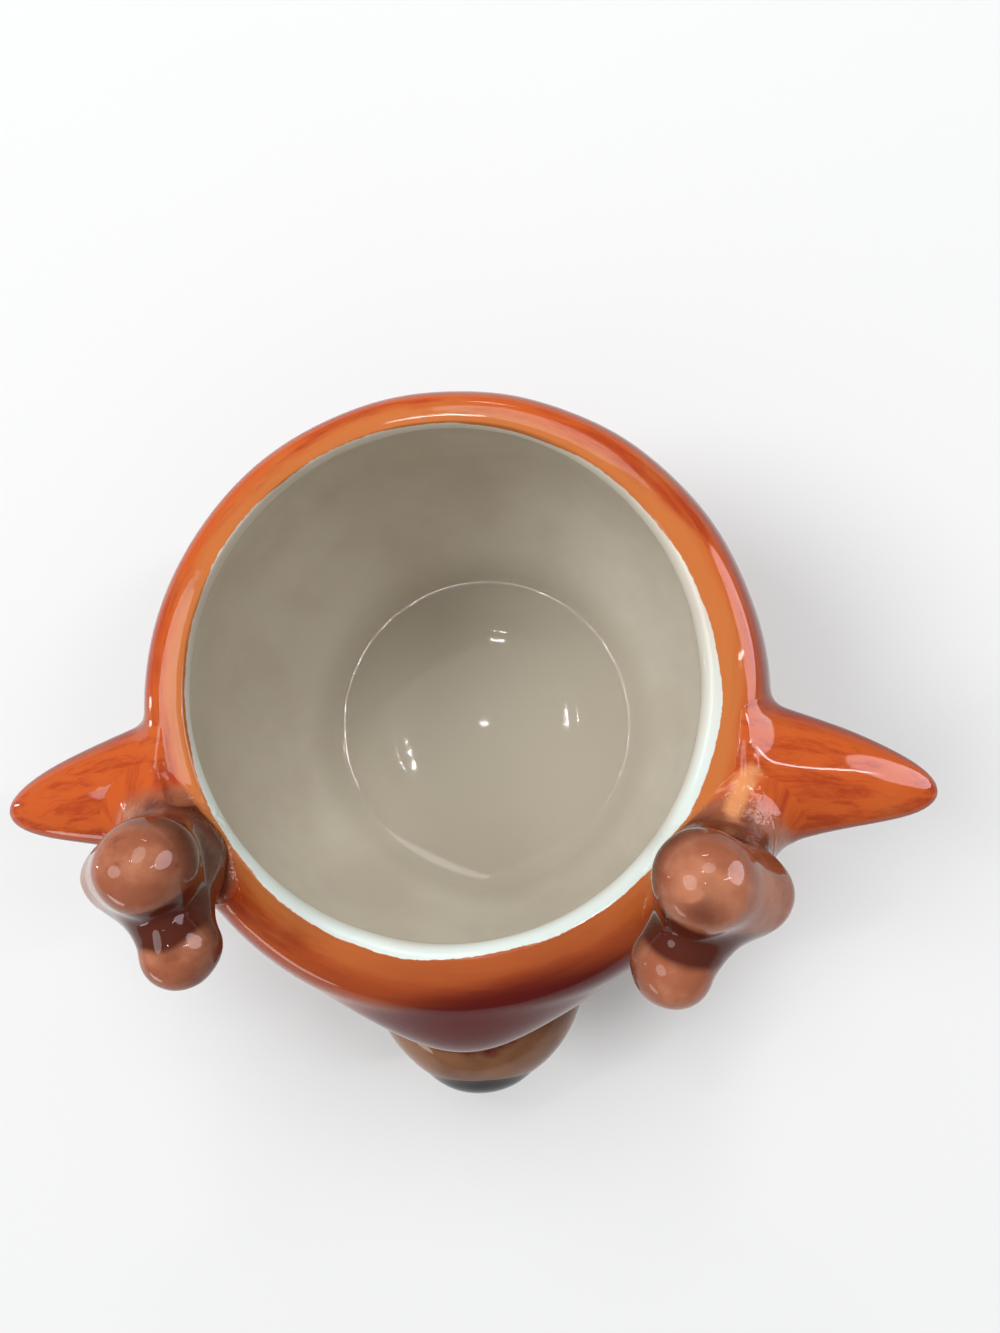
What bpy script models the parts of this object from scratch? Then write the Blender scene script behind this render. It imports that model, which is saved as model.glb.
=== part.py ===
"""Deer-head bowl: a slip-cast head open at the top, with a muzzle, nose, eyes, ears and antlers luted on.

Metres, +Z up. The face looks towards -Y and the bowl rests on its foot ring at z = 0.
Every sub-part is its own closed solid, seated on its neighbour with SEAT_GAP between them.
"""

import math

import bmesh
import bpy
import numpy as np
from mathutils import Matrix, Vector

MM = 0.001

# Head: a round pot whose front is drawn out into a keel, which makes the brow and the face.
RIM_HEIGHT = 98 * MM
MOUTH_RADIUS = 57 * MM
WALL = 6.5 * MM
BELLY_RADIUS = 77 * MM
BELLY_HEIGHT = 60 * MM
SHOULDER_FULLNESS = 3.5
BODY_FORWARD = 3.2 * MM
FOOT_RADIUS = 50 * MM
FOOT_FORWARD = 10 * MM
BROW_HEIGHT = 75 * MM
JAW_HEIGHT = 40 * MM
BROW_ANGLE = math.radians(37)
JAW_ANGLE = math.radians(28)
KEEL_ROUNDING = math.radians(12)

# Foot ring under the bowl, and the floor above it.
FOOT_EDGE = 2.5 * MM
FOOT_RING_WIDTH = 8 * MM
FOOT_RECESS = 3 * MM
FLOOR_DISC_RADIUS = 35 * MM
FLOOR_GROOVE = 1.3 * MM

# Muzzle and nose.
MUZZLE_DROP = 31 * MM
MUZZLE_SET_IN = 7 * MM
MUZZLE_HALF_WIDTH = 30 * MM
MUZZLE_HALF_LENGTH = 33 * MM
MUZZLE_HALF_DEPTH = 22 * MM
NOSE_HALF_WIDTH = 15.5 * MM
NOSE_HALF_LENGTH = 10 * MM
NOSE_HALF_DEPTH = 11 * MM
NOSE_RISE = 0.5 * MM
NOSE_STAND_OUT = 1.5 * MM

# Eyes, on the face under the brow.
EYE_DROP = 7 * MM
EYE_ANGLE = math.radians(17)
EYE_RADIUS = 6.5 * MM
EYE_STAND_OUT = 2.6 * MM

# Ears: leaf-shaped, dished at the front.
EAR_ROOT_ANGLE = math.radians(75.5)
EAR_DROP = 11.5 * MM
EAR_LENGTH = 44 * MM
EAR_SWEEP = math.radians(8)
EAR_HALF_WIDTH = 17.5 * MM
EAR_HALF_DEPTH = 11.5 * MM
EAR_DISH = 0.42
EAR_DISH_START = 0.3
EAR_DISH_TURN = math.radians(215)
EAR_DISH_SPREAD = math.radians(43)

# Antlers: a stem that leans in over the rim, its top drawn outwards, with a lobe forward. Each REACH is
# outside the lip's crest, each RISE above the rim, and each TURN is from the fork towards the ear.
ANTLER_ANGLE = math.radians(54)
ANTLER_HAND_TURN = math.radians(2.3)
ANTLER_ROOT_REACH = 10.2 * MM
ANTLER_ROOT_RISE = -7 * MM
ANTLER_ROOT_TURN = math.radians(6)
ANTLER_ROOT_RADIUS = 9.5 * MM
ANTLER_FORK_REACH = 9.8 * MM
ANTLER_FORK_RISE = 9 * MM
ANTLER_FORK_RADIUS = 8 * MM
ANTLER_TOP_REACH = 4 * MM
ANTLER_TOP_RISE = 25.5 * MM
ANTLER_TOP_TURN = math.radians(1)
ANTLER_TOP_RADIUS = 8.6 * MM
OUTER_LOBE_REACH = 15.6 * MM
OUTER_LOBE_RISE = 14 * MM
OUTER_LOBE_TURN = math.radians(3.5)
OUTER_LOBE_RADIUS = 7.6 * MM
FORWARD_LOBE_REACH = 11.3 * MM
FORWARD_LOBE_RISE = 20 * MM
FORWARD_LOBE_TURN = math.radians(-12.3)
FORWARD_LOBE_RADIUS = 8 * MM
LOBE_NECK_RADIUS = 6.5 * MM
LOBE_BLEND = 7.5 * MM

# Clearance between pieces that are luted together.
SEAT_GAP = 0.3 * MM

# Fineness of the meshes.
HEAD_SEGMENTS = 60
SHOULDER_STEPS = 9
WALL_STEPS = 9
LIP_STEPS = 5
EAR_STEPS = 11

COLLECTION_NAME = "deer_head_bowl"


def clear_scene():
    for obj in list(bpy.data.objects):
        bpy.data.objects.remove(obj, do_unlink=True)


def make_collection(name, hidden=False):
    collection = bpy.data.collections.new(name)
    bpy.context.scene.collection.children.link(collection)
    collection.hide_render = hidden
    return collection


def make_material(name, color, roughness):
    material = bpy.data.materials.new(name)
    material.use_nodes = True
    shader = material.node_tree.nodes["Principled BSDF"]
    shader.inputs["Base Color"].default_value = (*color, 1.0)
    shader.inputs["Roughness"].default_value = roughness
    shader.inputs["Metallic"].default_value = 0.0
    return material


def make_object(name, bm, collection, materials, smooth_angle=40):
    mesh = bpy.data.meshes.new(name)
    bmesh.ops.recalc_face_normals(bm, faces=bm.faces)
    bm.to_mesh(mesh)
    bm.free()
    for material in materials:
        mesh.materials.append(material)
    mesh.shade_smooth()
    mesh.set_sharp_from_angle(angle=math.radians(smooth_angle))
    obj = bpy.data.objects.new(name, mesh)
    collection.objects.link(obj)
    return obj


def make_cutter(name, bm, collection):
    obj = make_object(name, bm, collection, [])
    obj.hide_render = True
    obj.display_type = "WIRE"
    return obj


def cut(obj, cutter):
    boolean = obj.modifiers.new("seat_" + cutter.name, "BOOLEAN")
    boolean.operation = "DIFFERENCE"
    boolean.solver = "EXACT"
    boolean.object = cutter


# The head's form, as formulas. Angles run round the bowl from +X towards +Y, as seen from above.


def below_belly(z):
    """How far z lies below the belly: 0 at the belly and above it, 1 at the foot."""
    return np.clip(1 - z / BELLY_HEIGHT, 0, 1)


def shoulder_at(z):
    """The shoulder's full quarter curve: 1 at the belly and under it, 0 at the rim."""
    above = np.clip((z - BELLY_HEIGHT) / (RIM_HEIGHT - BELLY_HEIGHT), 0, 1)
    return (1 - above**2) ** (1 / SHOULDER_FULLNESS)


def belly_radius_at(z):
    """Radius of the round part: a parabola below the belly and the shoulder's curve above it."""
    lip_radius = MOUTH_RADIUS + WALL / 2
    lower = FOOT_RADIUS + (BELLY_RADIUS - FOOT_RADIUS) * (1 - below_belly(z) ** 2)
    upper = lip_radius + (BELLY_RADIUS - lip_radius) * shoulder_at(z)
    return np.where(z < BELLY_HEIGHT, lower, upper)


def keel_angle_at(z):
    """Angle of the face's two flanks: none at the rim, full at the brow, less from the jaw down."""
    above = np.clip((z - BROW_HEIGHT) / (RIM_HEIGHT - BROW_HEIGHT), 0, 1)
    below = np.clip((BROW_HEIGHT - z) / (BROW_HEIGHT - JAW_HEIGHT), 0, 1)
    ease = below * below * (3 - 2 * below)
    face = BROW_ANGLE + (JAW_ANGLE - BROW_ANGLE) * ease
    return np.where(z > BROW_HEIGHT, BROW_ANGLE * (1 - above**3), face)


def center_shift_at(z):
    """How far forward of the mouth the rings stand, so that the foot is under the face's weight."""
    body = BODY_FORWARD * shoulder_at(z)
    return -body - (FOOT_FORWARD - BODY_FORWARD) * below_belly(z) ** 2


def outline_radius(angle, z):
    """Polar radius of the ring at z.

    The front flanks are tangents to the round part, and they meet in a rounded keel.
    """
    from_front = np.abs(np.arctan2(np.sin(angle + math.pi / 2), np.cos(angle + math.pi / 2)))
    lean = np.maximum(0, keel_angle_at(z) - np.hypot(from_front, KEEL_ROUNDING))
    return belly_radius_at(z) / np.cos(lean)


def outer_form(heights, grow=0.0):
    """Radii, heights and shifts of the outer surface, one row a height.

    They are moved out by grow along the profile's normal.
    """
    angles = np.arange(HEAD_SEGMENTS) * (2 * math.pi / HEAD_SEGMENTS)
    z = np.repeat(heights[:, None], HEAD_SEGMENTS, axis=1)
    radius = outline_radius(angles[None, :], z)
    shift = center_shift_at(z)
    d_radius = np.gradient(radius, axis=0)
    d_z = np.gradient(z, axis=0)
    length = np.hypot(d_radius, d_z)
    return angles, radius + grow * d_z / length, z - grow * d_radius / length, shift


def wall_heights(lowest):
    """Heights from the lowest ring to the rim, closer together where the shoulder turns in."""
    lower = np.linspace(lowest, BELLY_HEIGHT, WALL_STEPS)
    turn = np.linspace(0, math.pi / 2, SHOULDER_STEPS + 1)[1:]
    upper = BELLY_HEIGHT + (RIM_HEIGHT - BELLY_HEIGHT) * np.sin(turn)
    return np.concatenate([lower, upper])


def ring_points(angles, radius, z, shift, scale=1.0):
    x = radius * scale * np.cos(angles)
    y = mouth_y + shift + radius * scale * np.sin(angles)
    return [Vector(p) for p in zip(x.tolist(), y.tolist(), np.broadcast_to(z, x.shape).tolist())]


def loft(rings, first_cap, last_cap, slots=None):
    """A closed body through the rings, from a middle point under the first to one over the last.

    slots gives the material slot of each cap and of each band between two rings, in order.
    """
    slots = slots or [0] * (len(rings) + 1)
    bm = bmesh.new()
    start = bm.verts.new(first_cap)
    end = bm.verts.new(last_cap)
    rows = [[bm.verts.new(p) for p in ring] for ring in rings]
    count = len(rows[0])
    for j in range(count):
        following = (j + 1) % count
        bm.faces.new((start, rows[0][following], rows[0][j])).material_index = slots[0]
        bm.faces.new((end, rows[-1][j], rows[-1][following])).material_index = slots[-1]
        for low, high, slot in zip(rows, rows[1:], slots[1:]):
            bm.faces.new((low[j], low[following], high[following], high[j])).material_index = slot
    return bm


def head_surface_point(angle, z):
    """A point of the outer surface and the horizontal direction out of it."""
    radius = float(outline_radius(np.array(angle), np.array(z)))
    shift = float(center_shift_at(np.array(z)))
    out = Vector((math.cos(angle), math.sin(angle), 0))
    return Vector((0, mouth_y + shift, z)) + out * radius, out


def head_cutter(collection):
    """The head's outer form without its hollow, grown by the seat gap."""
    angles, radius, z, shift = outer_form(wall_heights(0), SEAT_GAP)
    rings = [ring_points(angles, *row) for row in zip(radius, z, shift)]
    base = Vector((0, mouth_y - FOOT_FORWARD, -SEAT_GAP))
    top = Vector((0, mouth_y, RIM_HEIGHT + SEAT_GAP))
    return make_cutter("head_form", loft(rings, base, top), collection)


def floor_rings(angles, outline, shift):
    """Rings of the hollow's floor: a raised disc, and a groove round it where the foot ring is underneath."""
    floor_top = FOOT_RECESS + WALL
    groove = floor_top - FLOOR_GROOVE
    edge = float(outline[0]) - FLOOR_GROOVE
    rings = []
    for reach, height in (
        (edge, floor_top - FLOOR_GROOVE / 2),
        (edge - WALL / 2, groove),
        (FLOOR_DISC_RADIUS + WALL / 2, groove),
        (FLOOR_DISC_RADIUS, floor_top),
    ):
        rings.append(ring_points(angles, outline, height, shift, reach / float(outline[0])))
    return rings


def foot_rings(angles):
    """Rings of the underside: the recess's edge, then the inner and the outer edge of the flat foot ring."""
    outline = outline_radius(angles, np.zeros(HEAD_SEGMENTS))
    outer_edge = FOOT_RADIUS - FOOT_EDGE
    inner_edge = outer_edge - FOOT_RING_WIDTH
    rings = []
    for reach, height in ((inner_edge - FOOT_RECESS / 2, FOOT_RECESS), (inner_edge, 0.0), (outer_edge, 0.0)):
        rings.append(ring_points(angles, outline, height, -FOOT_FORWARD, reach / FOOT_RADIUS))
    return rings


def lip_rings(angles):
    """Rings of the half-round lip, from the crest inwards and down."""
    rings = []
    for turn in np.linspace(0, math.pi, LIP_STEPS + 2)[1:-1]:
        radius = MOUTH_RADIUS + WALL / 2 * (1 - math.sin(turn))
        height = RIM_HEIGHT - WALL / 2 * (1 - math.cos(turn))
        rings.append(ring_points(angles, np.full(HEAD_SEGMENTS, radius), height, 0.0))
    return rings


def build_head(collection, glaze, liner, clay):
    """One closed body: up the outside, over the lip, down the hollow's wall and across its floor."""
    floor_top = FOOT_RECESS + WALL
    angles, radius, z, shift = outer_form(wall_heights(FOOT_EDGE))
    outer = [ring_points(angles, *row) for row in zip(radius, z, shift)]

    _, radius, z, shift = outer_form(wall_heights(floor_top - WALL / 2), -WALL)
    clear = z.min(axis=1) > floor_top
    radius, z, shift = radius[clear], z[clear], shift[clear]
    inner = [ring_points(angles, *row) for row in zip(radius, z, shift)]

    foot = foot_rings(angles)
    lined = lip_rings(angles) + inner[::-1] + floor_rings(angles, radius[0], float(shift[0, 0]))
    base = Vector((0, mouth_y - FOOT_FORWARD, FOOT_RECESS))
    floor = Vector((0, mouth_y + float(shift[0, 0]), floor_top))
    slots = [2] * len(foot) + [0] * len(outer) + [1] * (len(lined) + 1)
    body = loft(foot + outer + lined, base, floor, slots)
    return make_object("head_bowl", body, collection, [glaze, liner, clay], smooth_angle=50)


def ellipsoid(center, half_sizes, segments, rings):
    bm = bmesh.new()
    bmesh.ops.create_uvsphere(bm, u_segments=segments, v_segments=rings, radius=1.0)
    for vert in bm.verts:
        vert.co = Vector(center) + Vector([c * h for c, h in zip(vert.co, half_sizes)])
    return bm


def muzzle_height():
    """Height of the muzzle's middle, which hangs from the brow as the eyes do."""
    return BROW_HEIGHT - MUZZLE_DROP


def muzzle_center():
    face, _ = head_surface_point(-math.pi / 2, muzzle_height())
    return Vector((0, face.y + MUZZLE_SET_IN, muzzle_height()))


def muzzle_half_sizes(grow=0.0):
    return (MUZZLE_HALF_WIDTH + grow, MUZZLE_HALF_LENGTH + grow, MUZZLE_HALF_DEPTH + grow)


def build_muzzle(collection, head_form, glaze):
    center = muzzle_center()
    muzzle = make_object("muzzle", ellipsoid(center, muzzle_half_sizes(), 28, 16), collection, [glaze])
    cut(muzzle, head_form)
    return muzzle


def build_nose(collection, cutters, glaze):
    center = muzzle_center()
    center.z += NOSE_RISE
    center.y -= MUZZLE_HALF_LENGTH + NOSE_STAND_OUT - NOSE_HALF_LENGTH
    half_sizes = (NOSE_HALF_WIDTH, NOSE_HALF_LENGTH, NOSE_HALF_DEPTH)
    nose = make_object("nose", ellipsoid(center, half_sizes, 24, 14), collection, [glaze])
    seat = ellipsoid(muzzle_center(), muzzle_half_sizes(SEAT_GAP), 28, 16)
    cut(nose, make_cutter("muzzle_form", seat, cutters))
    return nose


def build_eye(name, side, collection, head_form, glaze):
    """A flattened ball on the face, turned to look straight out of it."""
    surface, out = head_surface_point(-math.pi / 2 + side * EYE_ANGLE, BROW_HEIGHT - EYE_DROP)
    center = surface + out * (EYE_STAND_OUT - EYE_RADIUS)
    eye = make_object(name, ellipsoid(center, (EYE_RADIUS,) * 3, 18, 10), collection, [glaze])
    cut(eye, head_form)
    return eye


def ear_section(along, grow, steps=24):
    """Section of the ear, across its length: an ellipse with its front lower side pressed in."""
    round_tip = math.sqrt(1 - along)
    half_width = EAR_HALF_WIDTH * round_tip + grow
    half_depth = EAR_HALF_DEPTH * round_tip + grow
    dish = EAR_DISH * math.sin(math.pi * max(0.0, (along - EAR_DISH_START) / (1 - EAR_DISH_START)))
    points = []
    for k in range(steps):
        turn = 2 * math.pi * k / steps
        away = math.atan2(math.sin(turn - EAR_DISH_TURN), math.cos(turn - EAR_DISH_TURN))
        press = 1 - dish * math.exp(-((away / EAR_DISH_SPREAD) ** 2))
        points.append((half_width * press * math.cos(turn), half_depth * press * math.sin(turn)))
    return points


def ear_body(side, grow=0.0):
    """Sections of one leaf lofted along its length, from inside the head's wall to the tip."""
    surface, _ = head_surface_point(-math.pi / 2 + EAR_ROOT_ANGLE, RIM_HEIGHT - EAR_DROP)
    root = surface - Vector((WALL, 0, 0))
    direction = Vector((math.cos(EAR_SWEEP), -math.sin(EAR_SWEEP), 0))
    across = Vector((math.sin(EAR_SWEEP), math.cos(EAR_SWEEP), 0))
    up = Vector((0, 0, 1))
    rings = []
    for turn in np.linspace(0, math.pi / 2, EAR_STEPS + 1)[:-1]:
        along = float(math.sin(turn))
        middle = root + direction * (EAR_LENGTH * along)
        rings.append([middle + across * u + up * v for u, v in ear_section(along, grow)])
    tip = root + direction * (EAR_LENGTH + grow)
    rings = [[Vector((p.x * side, p.y, p.z)) for p in ring] for ring in rings]
    ends = [Vector((p.x * side, p.y, p.z)) for p in (root, tip)]
    return loft(rings, ends[0], ends[1])


def build_ear(name, side, collection, head_form, glaze):
    ear = make_object(name, ear_body(side), collection, [glaze])
    cut(ear, head_form)
    return ear


def antler_point(turn, reach, rise):
    """A point of the right-hand antler, given round the mouth's axis, from the lip's crest and the rim."""
    out = MOUTH_RADIUS + WALL / 2 + reach
    angle = ANTLER_ANGLE + turn
    return Vector((math.sin(angle) * out, mouth_y - math.cos(angle) * out, RIM_HEIGHT + rise))


def antler_lobes():
    """The antler's rounded bars as (start, end, start radius, end radius), on the right-hand side."""
    root = antler_point(ANTLER_ROOT_TURN, ANTLER_ROOT_REACH, ANTLER_ROOT_RISE)
    fork = antler_point(0, ANTLER_FORK_REACH, ANTLER_FORK_RISE)
    top = antler_point(ANTLER_TOP_TURN, ANTLER_TOP_REACH, ANTLER_TOP_RISE)
    outer = antler_point(OUTER_LOBE_TURN, OUTER_LOBE_REACH, OUTER_LOBE_RISE)
    forward = antler_point(FORWARD_LOBE_TURN, FORWARD_LOBE_REACH, FORWARD_LOBE_RISE)
    return [
        (fork, top, ANTLER_FORK_RADIUS, LOBE_NECK_RADIUS),
        (fork, root, ANTLER_FORK_RADIUS, ANTLER_ROOT_RADIUS),
        (top, outer, ANTLER_TOP_RADIUS, OUTER_LOBE_RADIUS),
        (fork, forward, LOBE_NECK_RADIUS, FORWARD_LOBE_RADIUS),
    ]


def antler_depth(point, lobes):
    """Distance outside the lobes, blended where they meet. It is negative inside."""
    total = None
    for start, end, start_radius, end_radius in lobes:
        axis = end - start
        part = min(1.0, max(0.0, (point - start).dot(axis) / axis.length_squared))
        distance = (point - start - axis * part).length - (start_radius + (end_radius - start_radius) * part)
        if total is None:
            total = distance
        else:
            overlap = max(0.0, LOBE_BLEND - abs(total - distance)) / LOBE_BLEND
            total = min(total, distance) - overlap * overlap * LOBE_BLEND / 4
    return total


def build_antler(name, side, collection, head_form, ear_form, glaze):
    """A ball whose every point is drawn out along its own ray until it meets the blended lobes.

    Both antlers are then turned the same small way round the mouth, as they were set by hand.
    """
    lobes = antler_lobes()
    middle = lobes[0][0]
    reach = 3 * (ANTLER_TOP_RISE + ANTLER_TOP_RADIUS)
    mouth = Vector((0, mouth_y, 0))
    hand_turn = Matrix.Rotation(-ANTLER_HAND_TURN, 3, "Z")
    bm = bmesh.new()
    bmesh.ops.create_icosphere(bm, subdivisions=4, radius=1.0)
    for vert in bm.verts:
        ray = vert.co.normalized()
        near, far = 0.0, reach
        for _ in range(40):
            trial = (near + far) / 2
            if antler_depth(middle + ray * trial, lobes) < 0:
                near = trial
            else:
                far = trial
        vert.co = middle + ray * near
        vert.co.x *= side
        vert.co = mouth + hand_turn @ (vert.co - mouth)
    antler = make_object(name, bm, collection, [glaze])
    cut(antler, head_form)
    cut(antler, ear_form)
    return antler


def mouth_offset():
    """Where the mouth's axis stands, so that the nose's tip and the back are equally far from y = 0."""
    face = float(outline_radius(np.array(-math.pi / 2), np.array(muzzle_height())))
    face -= float(center_shift_at(np.array(muzzle_height())))
    nose_reach = face - MUZZLE_SET_IN + MUZZLE_HALF_LENGTH + NOSE_STAND_OUT
    return (nose_reach - BELLY_RADIUS + BODY_FORWARD) / 2


def build_bowl():
    parts = make_collection(COLLECTION_NAME)
    cutters = make_collection("cutters", hidden=True)
    orange = make_material("orange_glaze", (0.56, 0.13, 0.03), 0.12)
    tan = make_material("tan_glaze", (0.55, 0.33, 0.19), 0.15)
    brown = make_material("brown_glaze", (0.36, 0.15, 0.09), 0.15)
    black = make_material("black_glaze", (0.012, 0.011, 0.014), 0.1)
    liner = make_material("liner_glaze", (0.62, 0.58, 0.50), 0.15)
    clay = make_material("bare_clay", (0.72, 0.66, 0.56), 0.8)

    head_form = head_cutter(cutters)
    build_head(parts, orange, liner, clay)
    build_muzzle(parts, head_form, tan)
    build_nose(parts, cutters, black)
    for label, side in (("left", -1), ("right", 1)):
        build_ear("ear_" + label, side, parts, head_form, orange)
        ear_form = make_cutter("ear_form_" + label, ear_body(side, SEAT_GAP), cutters)
        build_antler("antler_" + label, side, parts, head_form, ear_form, brown)
        build_eye("eye_" + label, side, parts, head_form, black)


mouth_y = mouth_offset()
clear_scene()
build_bowl()
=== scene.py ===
# Deer-head bowl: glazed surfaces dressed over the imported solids, with the floor, lamps and camera.
# Shapes are worked out in millimetres, and go into the meshes in metres.

import math

import bpy
import numpy as np
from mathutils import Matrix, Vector


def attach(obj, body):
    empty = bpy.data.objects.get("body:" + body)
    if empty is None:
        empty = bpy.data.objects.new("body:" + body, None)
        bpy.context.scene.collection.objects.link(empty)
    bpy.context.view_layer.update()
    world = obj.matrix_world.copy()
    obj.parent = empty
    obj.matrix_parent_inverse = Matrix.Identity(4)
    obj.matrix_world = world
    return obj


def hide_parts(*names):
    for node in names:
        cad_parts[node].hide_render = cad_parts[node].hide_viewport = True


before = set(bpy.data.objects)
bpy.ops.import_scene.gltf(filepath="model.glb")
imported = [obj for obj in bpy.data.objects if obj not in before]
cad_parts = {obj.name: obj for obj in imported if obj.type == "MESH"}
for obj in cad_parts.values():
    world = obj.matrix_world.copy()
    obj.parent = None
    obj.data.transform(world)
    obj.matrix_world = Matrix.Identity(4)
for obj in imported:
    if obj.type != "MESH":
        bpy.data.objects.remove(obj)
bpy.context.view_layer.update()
mm = 0.001

# The head's form, as formulas that the other pieces lean on. Lengths are in millimetres.

head = {
    "rimHeight": 98.0,
    "throatRadius": 57.0,
    "wall": 6.5,
    "bellyRadius": 77.0,
    "bellyHeight": 60.0,
    "fullness": 3.5,
    "bodyForward": 3.2,
    "footRadius": 50.0,
    "footForward": 10.0,
    "browHeight": 75.0,
    "jawHeight": 40.0,
    "browAngle": math.radians(37),
    "jawAngle": math.radians(28),
    "keelRounding": math.radians(12),
    "mouthY": 17.809,
    "columns": 352,
    "lumpSize": 0.15,
    "lumpLength": 34.0,
    "lumpSeed": 3,
}
cove = {
    "fullReach": 7.0,
    "start": -0.6,
    "least": 0.14,
    "drawnFrom": -0.7,
}
net = {
    "sunk": 0.012,
    "underside": 1.2,
    "slopeStep": 0.02,
    "draws": 3,
    "drawShare": 0.9,
    "edgeShare": 0.6,
}
rimHeight = head["rimHeight"]
mouthY = head["mouthY"]
crestRadius = head["throatRadius"] + head["wall"] / 2
shoulderRise = rimHeight - head["bellyHeight"]
shoulderOut = head["bellyRadius"] - crestRadius


def belowBelly(z):
    # 0 at the belly and above it, 1 at the foot
    return np.clip(1 - z / head["bellyHeight"], 0, 1)


def shoulderShare(z):
    # the shoulder's quarter curve: (1 - rise squared) to the power 1 / fullness
    rise = np.clip((z - head["bellyHeight"]) / shoulderRise, 0, 1)
    return (1 - rise**2) ** (1 / head["fullness"])


def keelAngle(z):
    # angle of the face's flanks: none at the rim, full at the brow, eased to the jaw's
    above = np.clip((z - head["browHeight"]) / (rimHeight - head["browHeight"]), 0, 1)
    below = np.clip((head["browHeight"] - z) / (head["browHeight"] - head["jawHeight"]), 0, 1)
    face = head["browAngle"] + (head["jawAngle"] - head["browAngle"]) * below**2 * (3 - 2 * below)
    return np.where(z > head["browHeight"], head["browAngle"] * (1 - above**3), face)


def keelStretch(x, y, z):
    # the flanks are tangents to the round part: 1 / cos(lean), rounded where they meet at the front
    fromFront = np.abs(np.arctan2(x, -y))
    lean = np.maximum(0, keelAngle(z) - np.hypot(fromFront, head["keelRounding"]))
    return 1 / np.cos(lean)


def lowerRadius(z):
    # from the foot's radius to the belly's, along a parabola: 1 - (share below the belly) squared
    return head["footRadius"] + (head["bellyRadius"] - head["footRadius"]) * (1 - belowBelly(z) ** 2)


def ringShift(shoulder, below):
    # how far the rings stand forward of the mouth's axis: by the shoulder's share, and more below the belly
    return -head["bodyForward"] * shoulder - (head["footForward"] - head["bodyForward"]) * below**2


def headLevel(p):
    # zero on the head: below the belly the radius past it, and above it the shoulder's curve as
    # (out ^ fullness + up ^ 2) ^ (1 / fullness) - 1
    x, z = p[..., 0], p[..., 2]
    y = p[..., 1] - mouthY - ringShift(shoulderShare(z), belowBelly(z))
    around = np.hypot(x, y) / keelStretch(x, y, z)
    out = np.maximum(0, (around - crestRadius) / shoulderOut)
    up = np.maximum(0, (z - head["bellyHeight"]) / shoulderRise)
    full = head["fullness"]
    tiny = 1e-9  # keeps the slope finite where both are 0
    upper = shoulderOut * ((out**full + up**2 + tiny) ** (1 / full) - 1)
    return np.where(z < head["bellyHeight"], around - lowerRadius(z), upper)


def slope(field, p, step=net["slopeStep"]):
    # the field's value, and its rise along x, y and z: the difference over a small step
    here = field(p)
    rises = [(field(p + np.eye(3)[axis] * step) - here) / step for axis in range(3)]
    return here, np.stack(rises, -1)


def unit(v):
    # each row over its own length
    return v / np.linalg.norm(v, axis=-1, keepdims=True)


def firstOrder(field, p):
    # distance to the field's zero surface: its value over the length of its slope
    here, rise = slope(field, p)
    return here / np.linalg.norm(rise, axis=-1)


def waves(p, wavelength, seed):
    # soft lumpiness from about -1 to 1: sine waves in nine chance directions, averaged and scaled up
    chance = np.random.default_rng(seed)
    count, shortest, longest, gain = 9, 0.7, 1.4, 2.2
    ways = unit(chance.normal(size=(count, 3))) * 2 * math.pi / wavelength
    ways = ways * chance.uniform(shortest, longest, (count, 1))
    return np.sin(p @ ways.T + chance.uniform(0, 2 * math.pi, count)).mean(-1) * gain


def lumps(p, wavelength, seed):
    # how deep the hand's dents go, from 0 to 2: 1 + waves kept within -1 and 1
    return 1 + np.clip(waves(p, wavelength, seed), -1, 1)


def headLumps(p):
    # how far hand-wiping has taken the surface in, from 0 to twice the lump size
    return head["lumpSize"] * lumps(p, head["lumpLength"], head["lumpSeed"])


def headDistance(p):
    # distance outside the head, where the lip's inner half is a ring bar of half the wall's thickness
    far = firstOrder(headLevel, p)
    around = np.hypot(p[..., 0], p[..., 1] - mouthY)
    bar = head["wall"] / 2
    lip = np.hypot(around - crestRadius, p[..., 2] - rimHeight + bar) - bar
    onLip = (around < crestRadius) & (p[..., 2] > rimHeight - bar)
    return np.where(onLip, lip, far) + headLumps(p)


def smoothUnion(a, b, width):
    # the nearer of two distances, eased over a width: min - (width - |a - b|)^2 / (4 width)
    return np.minimum(a, b) - np.maximum(0, width - np.abs(a - b)) ** 2 / (4 * width)


def coveWidth(p, width):
    # a cove is wiped thinner towards the lip: its width times the share of the way out from there
    around = np.hypot(p[..., 0], p[..., 1] - mouthY)
    return width * np.clip((around - crestRadius - cove["start"]) / cove["fullReach"], cove["least"], 1)


# Meshes


def meshFrom(name, points, faces):
    # points in millimetres and corner numbers of faces become a smooth piece in metres
    mesh = bpy.data.meshes.new(name)
    mesh.from_pydata((points * mm).tolist(), [], faces if isinstance(faces, list) else faces.tolist())
    mesh.shade_smooth()
    piece = bpy.data.objects.new(name, mesh)
    bpy.context.scene.collection.objects.link(piece)
    print(name, len(mesh.loops) - 2 * len(mesh.polygons), "triangles", flush=True)
    return piece


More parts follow.
